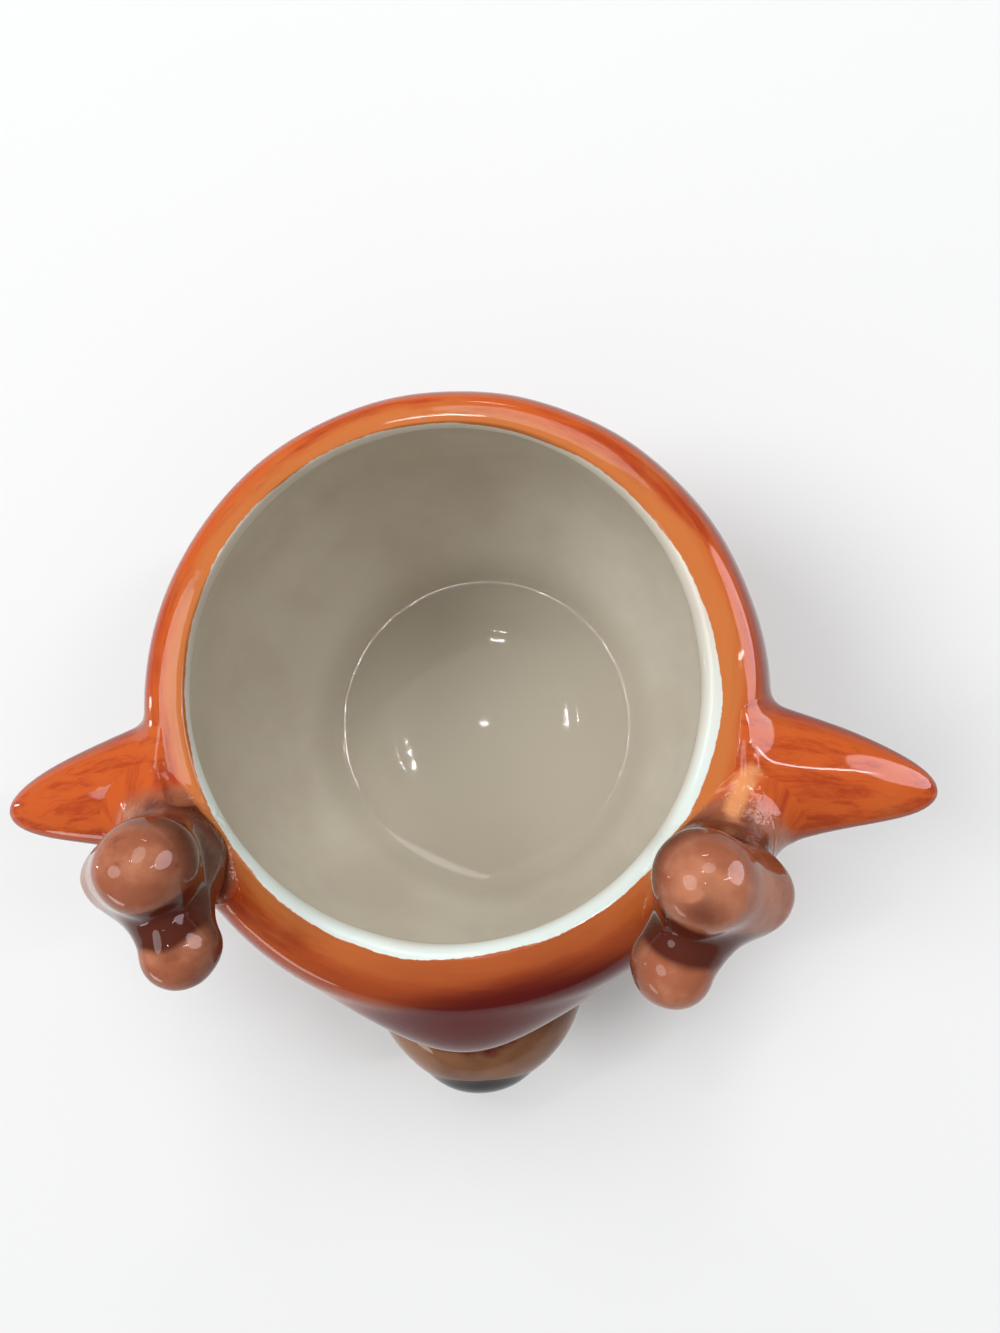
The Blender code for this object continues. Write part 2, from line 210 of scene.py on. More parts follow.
def closedMesh(name, rows, firstPole, lastPole):
    # rows of points round a body, closed by a point at each end, faces turned to point outwards
    count, columns = rows.shape[:2]
    points = np.concatenate([[firstPole], rows.reshape(-1, 3), [lastPole]])
    near = np.arange(columns)
    following = (near + 1) % columns
    start = 1 + np.arange(count - 1)[:, None] * columns
    nextRow = start + columns
    quads = [start + near, start + following, nextRow + following, nextRow + near]
    quads = np.stack(quads, -1).reshape(-1, 4)
    last = 1 + (count - 1) * columns
    firstFan = np.stack([np.zeros(columns, int), 1 + following, 1 + near], -1)
    lastFan = np.stack([np.full(columns, len(points) - 1), last + near, last + following], -1)
    triangles = np.concatenate([quads[:, [0, 1, 2]], quads[:, [0, 2, 3]]])
    corners = points[np.concatenate([triangles, firstFan, lastFan])]
    volume = np.einsum("ij,ij->i", corners[:, 0], np.cross(corners[:, 1], corners[:, 2])).sum()
    if volume < 0:
        quads, firstFan, lastFan = quads[:, ::-1], firstFan[:, ::-1], lastFan[:, ::-1]
    faces = quads.tolist() + firstFan.tolist() + lastFan.tolist()
    return meshFrom(name, points, faces), points


def putAttribute(piece, name, values):
    # one number or vector for each of the piece's points, as its material reads it
    kind, key = ("FLOAT", "value") if values.ndim == 1 else ("FLOAT_VECTOR", "vector")
    attribute = piece.data.attributes.new(name, kind, "POINT")
    attribute.data.foreach_set(key, values.astype(np.float32).ravel())


def ontoSurface(field, p, steps):
    # points drawn onto the field's zero surface: each step takes off value / slope squared, times the slope
    for _ in range(steps):
        here, rise = slope(field, p)
        p = p - net["drawShare"] * (here / (rise**2).sum(-1))[..., None] * rise
    return p


def gridNet(value, corner, cell):
    # A net round the part of a grid where the value is below 0: one point in each cell that the surface
    # passes through, at the mean of where it cuts the cell's edges, and one face across each edge it cuts.
    total = np.zeros([n - 1 for n in value.shape] + [3])
    count = np.zeros(total.shape[:3])
    crossed = []
    for axis in range(3):
        start = np.moveaxis(value, axis, 0)[:-1]
        end = np.moveaxis(value, axis, 0)[1:]
        cut = (start < 0) != (end < 0)
        part = np.where(cut, start / np.where(cut, start - end, 1), 0)
        part, cut, leaving = (np.moveaxis(a, 0, axis) for a in (part, cut, cut & (start < 0)))
        others = [a for a in range(3) if a != axis]
        for first in (0, 1):
            for second in (0, 1):
                window = [slice(None)] * 3
                window[others[0]] = slice(first, first + total.shape[others[0]])
                window[others[1]] = slice(second, second + total.shape[others[1]])
                window = tuple(window)
                near = cut[window]
                count += near
                total[..., axis] += np.where(near, part[window], 0)
                total[..., others[0]] += near * first
                total[..., others[1]] += near * second
        crossed.append((axis, others, cut, leaving))
    used = count > 0
    number = np.full(used.shape, -1)
    number[used] = np.arange(used.sum())
    points = corner + cell * (np.argwhere(used) + total[used] / count[used][:, None])
    faces = []
    for axis, others, cut, leaving in crossed:
        at = np.argwhere(cut)
        at = at[(at[:, others[0]] > 0) & (at[:, others[1]] > 0)]
        back = np.eye(3, dtype=int)
        ring = [at - back[others[0]] - back[others[1]], at - back[others[1]], at, at - back[others[0]]]
        quads = np.stack([number[tuple(r.T)] for r in ring], -1)
        turned = leaving[tuple(at.T)] == (axis != 1)
        quads[~turned] = quads[~turned][:, ::-1]
        faces.append(quads)
    return points, np.concatenate(faces)


def filletedPiece(name, field, base, low, high, look):
    # A body with a cove where it meets its base: a net round the eased union, as far out as the cove
    # reaches and down to a little under the base, then drawn exactly onto the union.
    fillet, cell = look["fillet"], look["cell"]
    low = np.array(low, float) - fillet - 2 * cell
    counts = np.ceil((np.array(high, float) + fillet + 2 * cell - low) / cell).astype(int)
    grid = low + cell * np.stack(np.meshgrid(*[np.arange(n) for n in counts], indexing="ij"), -1)
    own = field(grid)
    near = own < fillet + 2 * cell
    value = np.maximum(own, cell)
    spots = grid[near]
    under = base(spots)
    width = coveWidth(spots, fillet)
    joined = smoothUnion(own[near], under, width) + net["sunk"]
    value[near] = np.maximum(np.maximum(joined, own[near] - width), -net["underside"] - under)
    points, faces = gridNet(value, low, cell)

    def union(p):
        return smoothUnion(field(p), base(p), coveWidth(p, fillet)) + net["sunk"]

    inReach = field(points) < coveWidth(points, fillet) - net["edgeShare"] * cell
    inSight = (base(points) > cove["drawnFrom"]) & inReach
    points[inSight] = ontoSurface(union, points[inSight], net["draws"])
    return meshFrom(name, points, faces), points


# Antlers. Each lobe has its reach from the lip's crest, rise above the rim, turn in degrees and radius.

antler = {
    "angle": math.radians(54),
    "handTurn": math.radians(2.3),
    "root": (10.2, -7.0, 6.0, 9.5),
    "fork": (9.8, 9.0, 0.0, 8.0),
    "top": (4.0, 25.35, 1.0, 8.6),
    "outer": (15.6, 14.0, 3.5, 7.6),
    "forward": (11.3, 20.0, -12.3, 8.0),
    "skirt": (12.5, -8.0, 10.5, 7.8),
    "heel": (8.5, -3.0, 0.0, 6.0),
    "bars": (
        ("fork", "top", 8.0, 6.5),
        ("fork", "root", 8.0, 9.5),
        ("top", "outer", 8.6, 7.6),
        ("fork", "forward", 6.5, 8.0),
        ("fork", "skirt", 7.0, 7.8),
        ("top", "heel", 4.0, 6.0),
    ),
    "blend": 7.5,
    "sunk": 0.04,
    "lumpSize": 0.17,
    "lumpLength": 11.0,
    "lumpSeed": 8,
    "creaseStep": 0.3,
    "fillet": 7.0,
    "cell": 0.55,
}


def antlerPoint(name, side):
    # a lobe's middle, mirrored for the left, then both turned the same way round the mouth
    reach, rise, turn, _ = antler[name]
    angle = antler["angle"] + math.radians(turn)
    out = crestRadius + reach
    x, y = side * math.sin(angle) * out, -math.cos(angle) * out
    c, s = math.cos(antler["handTurn"]), math.sin(antler["handTurn"])
    return np.array([c * x + s * y, mouthY - s * x + c * y, rimHeight + rise])


def antlerLobes(side):
    # each bar as the two middles and the two radii of its ends
    return [(antlerPoint(a, side), antlerPoint(b, side), r0, r1) for a, b, r0, r1 in antler["bars"]]


def capsule(p, lobe):
    # distance to a bar with round ends: from its nearest point, less the radius there
    start, end, startRadius, endRadius = lobe
    axis = end - start
    part = np.clip((p - start) @ axis / (axis @ axis), 0, 1)
    away = np.linalg.norm(p - start - part[..., None] * axis, axis=-1)
    return away - startRadius - (endRadius - startRadius) * part


def antlerField(side):
    lobes = antlerLobes(side)

    def field(p):
        # distance to the bars, eased together, less the dents
        total = capsule(p, lobes[0])
        for lobe in lobes[1:]:
            total = smoothUnion(total, capsule(p, lobe), antler["blend"])
        dents = antler["lumpSize"] * lumps(p, antler["lumpLength"], antler["lumpSeed"] + side)
        return total + antler["sunk"] + dents

    return field


def antlerCrease(p, side):
    # how deep a point lies in the hollows between lobes: 1 - how much the eased distance rises in 1 mm
    rise = slope(antlerField(side), p, antler["creaseStep"])[1]
    return 1 - np.linalg.norm(rise, axis=-1)


# Ears

ear = {
    "rootAngle": math.radians(75.5),
    "height": 86.5,
    "length": 44.0,
    "sweep": math.radians(8),
    "halfWidth": 17.5,
    "halfDepth": 11.5,
    "dish": 0.42,
    "dishStart": 0.3,
    "dishTurn": math.radians(215),
    "dishSpread": math.radians(43),
    "rootLength": 3.0,
    "tipSpread": (0.6, 0.2),
    "lumpSize": 0.12,
    "lumpLength": 26.0,
    "lumpSeed": 21,
    "fillet": 3.4,
    "cell": 0.6,
}


def earFrame():
    # root point inside the wall, and the ways along, across and up, on the right-hand side
    angle = -math.pi / 2 + ear["rootAngle"]
    z = np.array(ear["height"])
    x, y = math.cos(angle), math.sin(angle)
    radius = (crestRadius + shoulderOut * shoulderShare(z)) * keelStretch(x, y, z)
    root = np.array([radius * x - head["wall"], mouthY + ringShift(shoulderShare(z), 0.0) + radius * y, z])
    along = np.array([math.cos(ear["sweep"]), -math.sin(ear["sweep"]), 0.0])
    across = np.array([math.sin(ear["sweep"]), math.cos(ear["sweep"]), 0.0])
    return root, along, across, np.array([0.0, 0.0, 1.0])


def earField(side):
    root, along, across, up = earFrame()

    def level(p):
        # a leaf: (across / width)^2 + (up / depth)^2 = 1 - share of length, its lower front pressed in
        q = p * np.array([side, 1, 1]) - root
        share = q @ along / ear["length"]
        u, v = q @ across / ear["halfWidth"], q @ up / ear["halfDepth"]
        away = np.arctan2(v, u) - ear["dishTurn"]
        away = np.arctan2(np.sin(away), np.cos(away))
        hollow = np.clip((share - ear["dishStart"]) / (1 - ear["dishStart"]), 0, 1)
        press = 1 - ear["dish"] * np.sin(math.pi * hollow) * np.exp(-((away / ear["dishSpread"]) ** 2))
        return u**2 + v**2 - (1 - share) * press**2

    def field(p):
        # the leaf, cut off level at its root inside the wall
        dents = ear["lumpSize"] * lumps(p, ear["lumpLength"], ear["lumpSeed"] + side)
        return np.maximum(firstOrder(level, p) + dents, (root - p * np.array([side, 1, 1])) @ along)

    return field


# Muzzle, nose and eyes


def surfacePoint(angle, z):
    # a point of the head at an angle from +X and a height, and the level way out of it
    z = np.array(float(z))
    x, y = math.cos(angle), math.sin(angle)
    plain = np.where(z < head["bellyHeight"], lowerRadius(z), crestRadius + shoulderOut * shoulderShare(z))
    radius = plain * keelStretch(x, y, z)
    shift = ringShift(shoulderShare(z), belowBelly(z))
    out = np.array([x, y, 0.0])
    return np.array([0.0, mouthY + shift, z]) + out * radius, out


muzzle = {
    "height": 44.0,
    "setIn": 7.0,
    "halfSizes": (30.0, 33.0, 22.0),
    "netBack": 0.1,
    "lumpSize": 0.12,
    "lumpSeed": 31,
    "fillet": 5.0,
    "cell": 0.7,
}
nose = {
    "halfSizes": (15.5, 10.0, 11.0),
    "rise": 0.5,
    "standOut": 1.5,
    "netBack": 0.3,
    "lumpSize": 0.06,
    "lumpSeed": 32,
    "fillet": 1.2,
    "cell": 0.4,
}
eye = {
    "drop": 7.0,
    "angle": math.radians(17),
    "radius": 6.5,
    "standOut": 1.7,
    "lumpSize": 0.03,
    "lumpSeed": 41,
    "fillet": 0.8,
    "cell": 0.3,
}
faceLumpLength = 22.0

muzzleMiddle = surfacePoint(-math.pi / 2, muzzle["height"])[0] + np.array([0.0, muzzle["setIn"], 0.0])
noseMiddle = muzzleMiddle + np.array(
    [0.0, nose["halfSizes"][1] - muzzle["halfSizes"][1] - nose["standOut"], nose["rise"]]
)


def ellipsoid(middle, halfSizes, look):
    def level(p):
        # length of the point's offset in half sizes, less 1, times the least half size
        return np.linalg.norm((p - middle) / np.array(halfSizes), axis=-1) * min(halfSizes) - min(halfSizes)

    def field(p):
        # distance to the ball, less the dents
        return firstOrder(level, p) + look["lumpSize"] * lumps(p, faceLumpLength, look["lumpSeed"])

    return field


muzzleField = ellipsoid(muzzleMiddle, muzzle["halfSizes"], muzzle)
noseField = ellipsoid(noseMiddle, nose["halfSizes"], nose)


def faceDistance(p):
    # the head and the muzzle, eased together
    return smoothUnion(muzzleField(p), headDistance(p), muzzle["fillet"])


# Where each colour of glaze was brushed, as distances in millimetres

rimBrush = {
    "mean": -0.55,
    "waves": (  # size, number in a turn, and lag in degrees
        (0.37, 1, 30),
        (0.42, 2, 62),
        (0.44, 3, 7),
        (0.19, 4, 99),
        (0.16, 7, 20),
        (0.12, 12, 80),
        (0.08, 23, 150),
    ),
    "sideGrowth": 4.0,
    "limit": 40.0,
    "deepest": -10.0,
}
lipShares = {
    "pared": {"middle": math.radians(130), "level": 0.5, "swing": 0.9},
    # litLip sets the lighter strip on the lip's top, which is painted light
    "litLip": {"middle": math.radians(95), "level": 0.35, "swing": -0.9},
}
tanFace = {"halfWidth": 45.0, "halfHeight": 26.0, "height": 36.0, "scale": 32.0, "behind": -25.0}
stroke = {"aroundRate": 2.2, "outShare": 0.6, "downShare": 0.8, "width": 3.2, "widest": 84.0}
earStroke = {"length": 22.0, "width": 3.4}
wornStroke = {"first": (66.0, -3.5), "last": (61.5, -11.0), "halfWidth": 1.6}  # between right ear and antler


def lipShare(name, angle):
    # round the lip from 0 to 1: level + swing x cosine of the angle from the middle. pared is 1 at the back
    # and left, where the paint meets the hollow's wall, and litLip is 1 in front, where the lip's top gets a
    # lighter strip as painted light.
    share = lipShares[name]
    return np.clip(share["level"] + share["swing"] * np.cos(angle - share["middle"]), 0, 1)


def paintEdge(angle):
    # how far outside the lip's crest the orange stops: the mean, and the sum of the waves
    edge = rimBrush["mean"] + 0 * angle
    for size, count, lag in rimBrush["waves"]:
        edge = edge + size * np.cos(count * angle + math.radians(lag))
    return edge


def wornDistance(points):
    # from the nearest point of the worn stroke, seen from above
    first, last = np.array(wornStroke["first"]), np.array(wornStroke["last"])
    way = last - first
    along = np.clip((points[:, :2] - first) @ way / np.sum(way**2), 0, 1)[:, None]
    return np.linalg.norm(points[:, :2] - first - along * way, axis=-1)


def paintAttributes(piece, points, path=None, brush=None):
    # Distances: rimPaint from the liner's edge outwards, antlerPaint from the antlers, facePaint from the
    # tan face, worn from the worn stroke, standOff from the head. Shares from 0 to 1: litStripShare, for the
    # painted light on the lip's top, and crease.
    # brush runs round the rim, or out along an ear. upward is how far the surface faces up.
    deepest, limit = rimBrush["deepest"], rimBrush["limit"]
    x, y, z = points[:, 0], points[:, 1] - mouthY, points[:, 2]
    around = np.hypot(x, y)
    angle = np.arctan2(y, x)
    standOff = headDistance(points)
    if path is None:
        path = around - crestRadius + rimBrush["sideGrowth"] * np.maximum(0, standOff)
    putAttribute(piece, "rimPaint", np.clip(path - paintEdge(angle), -limit, limit))
    fields = {side: antlerField(side)(points) for side in (-1, 1)}
    putAttribute(piece, "antlerPaint", np.clip(np.minimum(fields[-1], fields[1]), deepest, limit))
    putAttribute(piece, "worn", np.clip(wornDistance(points), 0, limit))
    # painted light: how strongly the lip's top gets the lighter strip
    putAttribute(piece, "litStripShare", lipShare("litLip", angle))
    crease = np.where(fields[-1] < fields[1], antlerCrease(points, -1), antlerCrease(points, 1))
    putAttribute(piece, "crease", np.clip(crease, 0, 1))
    oval = np.hypot(x / tanFace["halfWidth"], (z - tanFace["height"]) / tanFace["halfHeight"])
    face = np.maximum((oval - 1) * tanFace["scale"], y - tanFace["behind"])
    putAttribute(piece, "facePaint", np.clip(face, -limit, limit))
    putAttribute(piece, "standOff", np.clip(standOff, deepest, limit))
    if brush is None:
        out = np.minimum(around, stroke["widest"])
        lane = (stroke["outShare"] * out - stroke["downShare"] * z) / stroke["width"]
        rate = stroke["aroundRate"]
        brush = np.stack([np.cos(angle) * rate, np.sin(angle) * rate, lane], -1)
    putAttribute(piece, "brush", brush)
    normals = np.zeros(len(points) * 3, np.float32)
    piece.data.vertices.foreach_get("normal", normals)
    putAttribute(piece, "upward", normals[2::3])


# Head shell

shell = {
    "outerStep": 1.3,
    "innerStep": 1.6,
    "lipRows": 12,
    "pared": 2.3,
    "paredDepth": 22.0,
    "footEdge": 2.5,
}
footRing = (  # reach from the foot's middle and rise, under the hollow of the foot and out round the ring
    (12, 3),
    (24, 3),
    (33, 3),
    (36, 3),
    (37.6, 2.8),
    (38.4, 2.3),
    (38.9, 1.5),
    (39.3, 0.7),
    (39.8, 0.2),
    (40.6, 0),
    (42, 0),
    (44, 0),
    (46, 0),
    (47, 0.03),
    (47.6, 0.14),
    (48.4, 0.42),
    (49.6, 1.0),
    (50.9, 1.75),
)
floor = {
    "top": 9.5,
    "wallFoot": 1.5,
    "groove": 1.3,
    "radius": 49.0,
    "chordDistance": 47.2,
    "chordAngle": math.radians(24.9),
    "widestChord": 1.2,
    "pointRounding": 0.05,
    "cornerRounding": 1.2,
    "edgeWidth": 1.5,
    "coveRows": 12,
    "coveFall": 2.0,
    "coveSpread": 1.4,
    "grooveRows": 8,
    "grooveInner": 38.4,
    "stepWidth": 6.4,
}
disc = {
    "rows": 58,
    "outer": 38.0,
    "inner": 1.6,
    "sunk": 0.75,
    "crownRadius": 3.0,
    "crownEnd": 18.0,
    "crownFade": 8.0,
    "crownSlope": math.radians(-2.4),
    "dishStart": 23.5,
    "dishRadius": 31.0,
    "dishSlope": math.radians(8),
    "plainShare": 0.2,
    "arcs": ((200, 16, 0.6), (4, 12, 0.75), (78, 9, 0.6)),  # angle, half width in degrees and added share
    "ripple": 0.03,
    "rippleLength": 30.0,
    "rippleSeed": 96104,
}


def levelRipple(x, y, wavelength, seed):
    # soft unevenness of a level floor, from about -1 to 1: sine waves in five chance directions, averaged
    chance = np.random.default_rng(seed)
    count, shortest, longest, gain = 5, 0.7, 1.4, 1.6
    turn = chance.uniform(0, 2 * math.pi, count)
    rate = 2 * math.pi / wavelength * chance.uniform(shortest, longest, count)
    lag = chance.uniform(0, 2 * math.pi, count)
    ways = np.stack([np.cos(turn), np.sin(turn)], -1) * rate[:, None]
    return gain * np.sin(np.stack([x, y], -1) @ ways.T + lag).mean(-1)


def discHeight(reach, angles):
    # The disc's height, added up from its slope outwards: a faint crown in the middle, and a dish towards
    # its edge. The dish is steeper at three arcs, each exp(-(turn away / half width) ^ 4 / 2).
    spacing = 0.05
    r = np.linspace(0, disc["dishRadius"], round(disc["dishRadius"] / spacing) + 1)
    fade = np.clip((disc["crownEnd"] - r) / disc["crownFade"], 0, 1)
    crown = math.tan(disc["crownSlope"]) * np.clip(r / disc["crownRadius"], 0, 1) * fade
    dishShare = (r - disc["dishStart"]) / (disc["dishRadius"] - disc["dishStart"])
    dish = math.tan(disc["dishSlope"]) * np.clip(dishShare, 0, 1)
    steep = disc["plainShare"] + 0 * angles
    for middle, halfWidth, more in disc["arcs"]:
        turn = angles - math.radians(middle)
        away = np.degrees(np.arctan2(np.sin(turn), np.cos(turn)))
        steep = steep + more * np.exp(-((away / halfWidth) ** 4) / 2)
    crown, dish = (np.interp(reach, r, np.cumsum(rise) * spacing) for rise in (crown, dish))
    return crown + steep * dish


def roundProfile(low, step):
    # radius, height and shoulder share of the round outer form, at even steps along its length
    lowerCount, upperCount = 400, 900
    z = np.linspace(low, head["bellyHeight"], lowerCount)[:-1]
    share = np.linspace(1, 0, upperCount)
    radius = np.concatenate([lowerRadius(z), crestRadius + shoulderOut * share])
    rise = shoulderRise * np.sqrt(1 - share ** head["fullness"])
    height = np.concatenate([z, head["bellyHeight"] + rise])
    shoulder = np.concatenate([np.ones(len(z)), share])
    path = np.concatenate([[0], np.cumsum(np.hypot(np.diff(radius), np.diff(height)))])
    wanted = np.linspace(0, path[-1], round(path[-1] / step) + 1)
    return [np.interp(wanted, path, values) for values in (radius, height, shoulder)]


def formRows(angles, low, step, grow):
    # rows round the keeled form: each profile point at every angle, moved out along its normal by grow
    radius, height, shoulder = roundProfile(low, step)
    z = np.repeat(height[:, None], len(angles), 1)
    wide = radius[:, None] * keelStretch(np.cos(angles), np.sin(angles), z)
    centre = mouthY + ringShift(shoulder, belowBelly(height))[:, None]
    dWide, dZ = np.gradient(wide, axis=0), np.gradient(z, axis=0)
    length = np.hypot(dWide, dZ)
    wide, z = wide + grow * dZ / length, z - grow * dWide / length
    return np.stack([wide * np.cos(angles), centre + wide * np.sin(angles), z], -1)


def ringRows(angles, reach, height, centreY, outline):
    # one row round a middle for each reach and height, stretched by the outline
    wide = np.array(reach)[:, None] * outline
    z = np.repeat(np.array(height)[:, None], len(angles), 1)
    return np.stack([wide * np.cos(angles), centreY + wide * np.sin(angles), z], -1)


def lipRows(angles, pared):
    # a quarter turn inwards from the crest: reach falls by the half thickness left x sine of the turn
    bar = head["wall"] / 2
    turn = np.linspace(0, math.pi / 2, shell["lipRows"] + 1)[1:, None]
    wide = crestRadius - (bar - pared) * np.sin(turn)
    z = rimHeight - bar * (1 - np.cos(turn)) + 0 * wide
    lip = np.stack([wide * np.cos(angles), mouthY + wide * np.sin(angles), z], -1)
    return lip - headLumps(lip)[..., None] * np.array([0, 0, 1]) * np.cos(turn)[..., None]


def wallRows(angles, pared):
    # the hollow's wall from under the lip to the floor: the outside moved in by the wall's thickness, and
    # out again at the lip by pared x (1 - depth)^2 x (1 + 2 depth)
    barHeight = rimHeight - head["wall"] / 2
    inner = formRows(angles, floor["top"] - head["wall"] / 2, shell["innerStep"], -head["wall"])
    inner = inner[inner[..., 2].mean(1) < barHeight]
    depth = np.clip((barHeight - inner[..., 2]) / shell["paredDepth"], 0, 1)
    outwards = np.stack([np.cos(angles), np.sin(angles), 0 * angles], -1)
    inner = inner + (pared * (1 - depth) ** 2 * (1 + 2 * depth))[..., None] * outwards
    return inner[inner[..., 2].min(1) > floor["top"] + floor["wallFoot"]][::-1]


def floorEdge(angles):
    # a circle whose front is cut by two chords, distance / cosine of the turn, that meet in a blunt point
    fromFront = np.abs(np.arctan2(np.cos(angles), -np.sin(angles)))
    lean = np.hypot(fromFront, floor["pointRounding"]) - floor["chordAngle"]
    chord = floor["chordDistance"] / np.cos(np.minimum(lean, floor["widestChord"]))
    cut = smoothUnion(chord, floor["radius"], floor["cornerRounding"])
    return np.where(fromFront < floor["chordAngle"], chord, cut)[None]


def floorRows(angles, wallFoot, centreY):
    # a cove from the wall into a groove, and a step up from it onto the disc: 3 share^2 - 2 share^3
    wide = np.hypot(wallFoot[:, 0], wallFoot[:, 1] - centreY)[None]
    grooveTop = floor["top"] - floor["groove"]
    edge = floorEdge(angles) - floor["edgeWidth"]
    share = np.linspace(0, 1, floor["coveRows"])[1:, None]
    coveHeight = grooveTop + (wallFoot[0, 2] - grooveTop) * (1 - share) ** floor["coveFall"]
    coveReach = wide + (edge - wide) * (1 - (1 - share) ** floor["coveSpread"])
    share = np.linspace(0, 1, floor["grooveRows"])[1:, None]
    grooveReach = edge + (floor["grooveInner"] - edge) * share
    reach = np.linspace(disc["outer"], disc["inner"], disc["rows"])[:, None]
    step = np.clip((floor["grooveInner"] - reach) / floor["stepWidth"], 0, 1)
    x, y = reach * np.cos(angles), reach * np.sin(angles)
    ripple = disc["ripple"] * (levelRipple(x, y, disc["rippleLength"], disc["rippleSeed"]) - 1)
    raised = floor["groove"] + discHeight(reach, angles) - disc["sunk"] + ripple
    discTop = grooveTop + raised * step**2 * (3 - 2 * step)
    wide = np.concatenate([coveReach, grooveReach, reach + 0 * angles])
    z = np.concatenate([coveHeight + 0 * angles, grooveTop + 0 * grooveReach, discTop])
    return np.stack([wide * np.cos(angles), centreY + wide * np.sin(angles), z], -1)


def makeHeadShell():
    # one closed skin: foot ring, up the outside, over the lip, down the hollow's wall and across its floor
    angles = np.linspace(0, 2 * math.pi, head["columns"], endpoint=False)
    footCentre = mouthY - head["footForward"]
    footOutline = keelStretch(np.cos(angles), np.sin(angles), np.zeros(len(angles)))[None]
    reach, rise = zip(*footRing)
    foot = ringRows(angles, reach, rise, footCentre, footOutline)
    outer = formRows(angles, shell["footEdge"], shell["outerStep"], 0.0)
    outer -= headLumps(outer)[..., None] * unit(slope(headLevel, outer)[1])

    # the lip's inner half is pared away at the back and left, so the paint there reaches the hollow's wall
    pared = shell["pared"] * lipShare("pared", angles)
    lip = lipRows(angles, pared)
    inner = wallRows(angles, pared)
    wallFoot = inner[-1]
    centreY = mouthY + float(ringShift(1.0, belowBelly(wallFoot[0, 2])))
    bottom = floorRows(angles, wallFoot, centreY)

    rows = np.concatenate([foot, outer, lip, inner, bottom])
    firstPole = np.array([0, footCentre, footRing[0][1]])
    lastPole = np.array([0, centreY, bottom[-1, :, 2].mean()])
    piece, points = closedMesh("headShell", rows, firstPole, lastPole)

    # path along the skin from the lip's crest: outwards above 0, inwards below 0
    lengths = np.linalg.norm(np.diff(rows, axis=0), axis=-1)
    path = np.concatenate([np.zeros((1, len(angles))), np.cumsum(lengths, 0)])
    crest = len(foot) + len(outer) - 1
    limit = rimBrush["limit"]
    path = np.concatenate([[limit], (path[crest] - path).ravel(), [-limit]])
    paintAttributes(piece, points, path)
    return piece


print("head shell", flush=True)
headShell = makeHeadShell()


# The other pieces, each with a cove onto the piece under it


def makeEar(side, word):
    # netted between its root and its tip, with brush strokes that run along it
    root, along, across, up = earFrame()
    mirror = np.array([side, 1, 1])
    tip = root + along * ear["length"]
    half = np.array([ear["rootLength"], ear["halfWidth"], ear["halfDepth"]])
    inward, outward = ear["tipSpread"]
    ends = np.stack([root - half, root + half, tip - half * inward, tip + half * outward]) * mirror
    field = earField(side)
    piece, points = filletedPiece(word + "Ear", field, headDistance, ends.min(0), ends.max(0), ear)
    offset = points * mirror - root
    length, width = earStroke["length"], earStroke["width"]
    brush = np.stack([offset @ along / length, offset @ across / width, offset @ up / width], -1)
    paintAttributes(piece, points, brush=brush)
    return piece


def makeAntler(side, word):
    # netted round all its lobes, onto the head and the ear
    earOnly = earField(side)

    def shoulderAndEar(p):
        # the head and the ear, eased together
        return smoothUnion(earOnly(p), headDistance(p), coveWidth(p, ear["fillet"]))

    balls = [ball for a, b, r0, r1 in antlerLobes(side) for ball in ((a, r0), (b, r1))]
    ends = np.array([middle + way * radius for middle, radius in balls for way in (-1, 1)])
    field = antlerField(side)
    piece, points = filletedPiece(word + "Antler", field, shoulderAndEar, ends.min(0), ends.max(0), antler)
    paintAttributes(piece, points)
    return piece


def makeEye(side, word):
    # a ball sunk into the face under the brow
    spot, out = surfacePoint(-math.pi / 2 + side * eye["angle"], head["browHeight"] - eye["drop"])
    radius = eye["radius"]
    middle = spot + out * (eye["standOut"] - radius)
    ball = ellipsoid(middle, (radius,) * 3, eye)
    piece, points = filletedPiece(word + "Eye", ball, headDistance, middle - radius, middle + radius, eye)
    paintAttributes(piece, points)
    return piece


def makeFacePiece(name, field, base, middle, look):
    # a ball on the face, netted from its front to a share of its depth behind its middle
    sizes = np.array(look["halfSizes"])
    back = middle + sizes * (1, look["netBack"], 1)
    piece, points = filletedPiece(name, field, base, middle - sizes, back, look)
    paintAttributes(piece, points)
    return piece


sides = ((-1, "left"), (1, "right"))
print("ears", flush=True)
earPieces = {word: makeEar(side, word) for side, word in sides}
print("antlers", flush=True)
antlerPieces = {word: makeAntler(side, word) for side, word in sides}
print("muzzle, nose and eyes", flush=True)
muzzlePiece = makeFacePiece("muzzleForm", muzzleField, headDistance, muzzleMiddle, muzzle)
nosePiece = makeFacePiece("noseForm", noseField, faceDistance, noseMiddle, nose)
eyePieces = {word: makeEye(side, word) for side, word in sides}


# Shader maths


class Wire:
    # a node's output: sums and products of wires add the Math nodes that work them out
    def __init__(self, recipe, output):
        self.recipe = recipe
        self.output = output

    def maths(self, operation, *values):
        # this wire first, then the other values
        return self.recipe.add("ShaderNodeMath", {"operation": operation}, (self, *values))

    def __add__(self, other):
        return self.maths("ADD", other)

    def __sub__(self, other):
        return self.maths("SUBTRACT", other)

    def __mul__(self, other):
        return self.maths("MULTIPLY", other)

    def __rsub__(self, other):
        # a number less a wire
        return self.recipe.add("ShaderNodeMath", {"operation": "SUBTRACT"}, (other, self))

    __radd__ = __add__
    __rmul__ = __mul__

    def eased(self, low, high):
        # 0 below low, 1 above high, eased between
        settings = {"interpolation_type": "SMOOTHSTEP"}
        return self.recipe.add("ShaderNodeMapRange", settings, (self, low, high, 0.0, 1.0))


